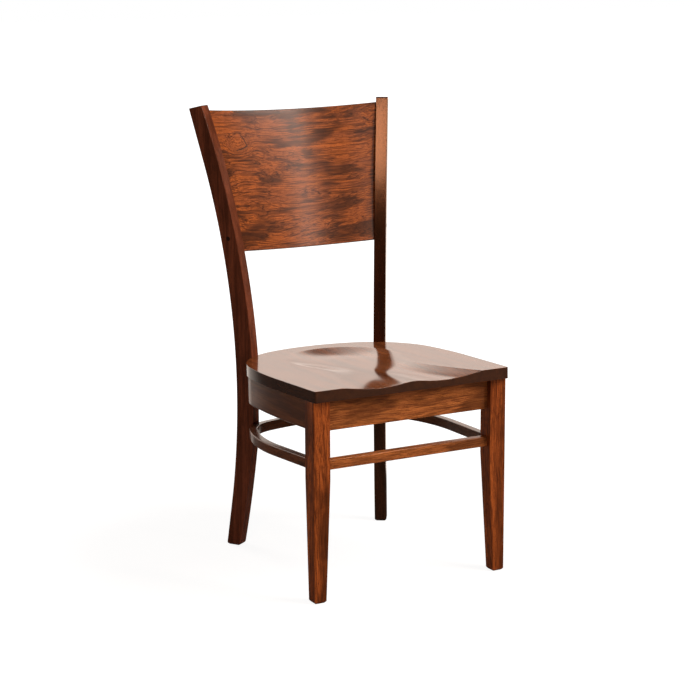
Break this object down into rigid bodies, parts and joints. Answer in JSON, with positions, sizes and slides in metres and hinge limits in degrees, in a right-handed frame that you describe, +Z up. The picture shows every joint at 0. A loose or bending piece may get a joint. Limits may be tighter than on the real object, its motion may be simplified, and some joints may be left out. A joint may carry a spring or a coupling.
{
  "type": "side chair",
  "caption": "Wooden side chair with a scooped seat, a bowed solid back panel between turned sabre posts, a bent apron and a bent hoop stretcher.",
  "frame": {"origin": "middle of the chair's box, on the floor", "axes": "-Y the way the chair faces, +X to the right as seen from in front of it, +Z up"},
  "size_m": [0.5108, 0.5764, 0.9997],
  "materials": {
    "seat_wood": "clear gloss lacquer over dark brown stain",
    "leg_wood": "clear gloss lacquer over reddish brown stain",
    "post_wood": "clear gloss lacquer over dark brown stain",
    "rail_wood": "clear gloss lacquer over reddish brown stain",
    "bent_wood": "clear gloss lacquer over dark brown stain",
    "panel_wood": "clear gloss lacquer over reddish brown stain, figured veneer",
    "block_wood": "plain sawn wood",
    "dowel_wood": "plain turned wood",
    "steel": "zinc plated",
    "brass": "plain"
  },
  "bodies": {
    "root": {"seat": "seat_wood", "front_leg_left": "leg_wood", "front_leg_right": "leg_wood", "rear_post_left": "post_wood", "rear_post_right": "post_wood", "front_apron": "rail_wood", "bent_apron": "bent_wood", "front_stretcher": "rail_wood", "hoop_stretcher": "bent_wood", "back_panel": "panel_wood", "corner_block_left": "block_wood", "corner_block_right": "block_wood", "front_apron_dowels": "dowel_wood", "bent_apron_dowels": "dowel_wood", "front_stretcher_dowels": "dowel_wood", "hoop_dowels": "dowel_wood", "post_bolts": "steel", "post_bolt_washers": "steel", "post_bolt_inserts": "brass", "hoop_screws": "steel", "panel_screws": "steel", "panel_screw_plugs": "post_wood", "corner_block_screws": "steel", "front_seat_screws": "steel", "rear_seat_screws": "steel"}
  },
  "joints": []
}
